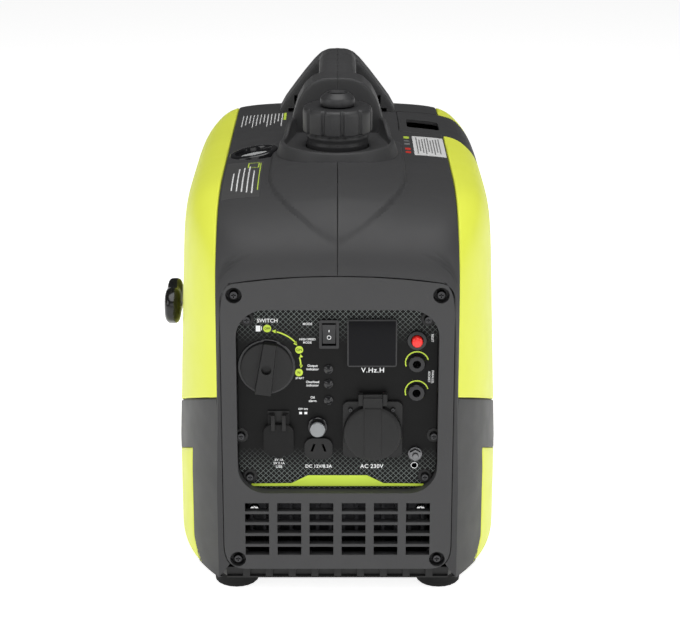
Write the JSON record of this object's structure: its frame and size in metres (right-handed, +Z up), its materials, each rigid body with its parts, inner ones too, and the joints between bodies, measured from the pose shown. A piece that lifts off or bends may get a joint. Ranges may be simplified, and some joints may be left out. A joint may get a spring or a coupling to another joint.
{
  "type": "portable generator",
  "caption": "Suitcase inverter generator with recoil starter, recessed control panel with outlets, lobed fuel cap, carrying handle and lime side covers.",
  "frame": {"origin": "on the floor under the middle of the whole machine's box", "axes": "+Z up, +Y from the control panel to the rear (the long way), +X to the right of someone facing the panel"},
  "size_m": [0.3026, 0.5, 0.413],
  "materials": {
    "casing": "moulded, fine satin texture",
    "lime": "semi-gloss moulded",
    "frame": "moulded, fine texture",
    "panel": "printed film on plate",
    "black_gloss": "moulded",
    "black_matte": "moulded, textured",
    "rubber": "matt",
    "red": "moulded",
    "clear": "translucent",
    "steel": "zinc plated",
    "cast": "die cast",
    "copper": "enamelled winding",
    "tank": "painted sheet",
    "exhaust": "heat-stained",
    "rope": "braided",
    "porcelain": "glazed"
  },
  "bodies": {
    "casing": {"base_tray": "black_matte", "foot_front_left": "rubber", "foot_rear_left": "rubber", "foot_front_right": "rubber", "foot_rear_right": "rubber", "shell_left": "casing", "side_cover_left": "lime", "lower_trim_left": "lime", "shell_right": "casing", "side_cover_right": "lime", "lower_trim_right": "lime", "front_frame": "frame", "rear_cover": "frame", "handle_left": "casing", "handle_right": "casing", "filler_collar": "casing", "fuel_gauge": "black_gloss", "fuel_tank": "tank", "control_panel": "panel", "rocker_housing": "black_gloss", "display_module": "black_gloss", "lamp_output": "black_gloss", "lamp_overload": "black_gloss", "lamp_oil": "black_gloss", "reset_housing": "black_gloss", "breaker_housing": "black_gloss", "parallel_socket_upper": "black_gloss", "parallel_socket_lower": "black_gloss", "ac_socket": "black_matte", "dc_socket": "black_matte", "usb_socket": "black_matte", "earth_terminal": "steel", "crankcase": "cast", "cylinder": "cast", "spark_plug": "porcelain", "stator": "copper", "muffler": "exhaust", "carburettor": "cast", "air_filter_box": "black_matte", "engine_mount_front_left": "rubber", "engine_mount_rear_left": "rubber", "engine_mount_front_right": "rubber", "engine_mount_rear_right": "rubber", "recoil_housing": "black_matte", "inverter_module": "cast"},
    "spark_plug_cover": {"spark_plug_cover": "casing"},
    "cap_insert": {"cap_insert": "rubber"},
    "fuel_cap": {"fuel_cap": "black_matte"},
    "vent_knob": {"vent_knob": "black_matte"},
    "engine_knob": {"engine_knob": "black_gloss"},
    "rocker_switch": {"rocker_switch": "black_gloss"},
    "reset_button": {"reset_button": "red"},
    "breaker_button": {"breaker_button": "clear"},
    "ac_socket_lid": {"ac_socket_lid": "black_matte"},
    "usb_cover": {"usb_cover": "rubber"},
    "starter_grip": {"starter_grip": "black_gloss", "starter_rope": "rope"},
    "recoil_reel": {"recoil_reel": "black_matte"},
    "crankshaft": {"crankshaft_rotor": "steel"}
  },
  "joints": [
    {"name": "cap_lift", "type": "slide", "parent": "casing", "child": "cap_insert", "axis": [0, 0, 1], "range_m": [0, 0.01]},
    {"name": "cap_turn", "type": "hinge", "parent": "cap_insert", "child": "fuel_cap", "pos_m": [0.00675, -0.065, 0.38], "axis": [0, 0, 1], "range_deg": [0, 900]},
    {"name": "vent_turn", "type": "hinge", "parent": "fuel_cap", "child": "vent_knob", "pos_m": [0.00675, -0.065, 0.395], "axis": [0, 0, 1], "range_deg": [-90, 0]},
    {"name": "knob_turn", "type": "hinge", "parent": "casing", "child": "engine_knob", "pos_m": [-0.05225, -0.24, 0.206], "axis": [0, 1, 0], "range_deg": [0, 98]},
    {"name": "rocker_tilt", "type": "hinge", "parent": "casing", "child": "rocker_switch", "pos_m": [-0.00025, -0.2384, 0.235], "axis": [-1, 0, 0], "range_deg": [0, 14]},
    {"name": "reset_press", "type": "slide", "parent": "casing", "child": "reset_button", "axis": [0, 1, 0], "range_m": [0, 0.003], "stiffness_N_per_m": 150},
    {"name": "breaker_press", "type": "slide", "parent": "casing", "child": "breaker_button", "axis": [0, 1, 0], "range_m": [0, 0.0025], "stiffness_N_per_m": 150},
    {"name": "ac_lid_open", "type": "hinge", "parent": "casing", "child": "ac_socket_lid", "pos_m": [0.03625, -0.2453, 0.181], "axis": [-1, 0, 0], "range_deg": [0, 110], "stiffness_Nm_per_rad": 0.02},
    {"name": "usb_cover_open", "type": "hinge", "parent": "casing", "child": "usb_cover", "pos_m": [-0.04275, -0.2426, 0.1646], "axis": [-1, 0, 0], "range_deg": [0, 100], "stiffness_Nm_per_rad": 0.004},
    {"name": "starter_pull", "type": "slide", "parent": "casing", "child": "starter_grip", "axis": [-1, 0, 0], "range_m": [0, 0.6], "stiffness_N_per_m": 20, "deforming": ["starter_rope"]},
    {"name": "recoil_turn", "type": "hinge", "parent": "casing", "child": "recoil_reel", "pos_m": [0.00675, -0.062, 0.15], "axis": [0, -1, 0], "range_deg": [0, 626]},
    {"name": "crank_turn", "type": "hinge", "parent": "casing", "child": "crankshaft", "pos_m": [0.00675, 0, 0.15], "axis": [0, 1, 0], "continuous": true},
    {"name": "plug_cover_lift", "type": "slide", "parent": "casing", "child": "spark_plug_cover", "axis": [0, 0, 1], "range_m": [0, 0.06]}
  ],
  "couplings": [
    {"joint": "cap_lift", "follows": "cap_turn", "m_per_rad": 0.0006366},
    {"joint": "recoil_turn", "follows": "starter_pull", "rad_per_m": 18.182}
  ]
}
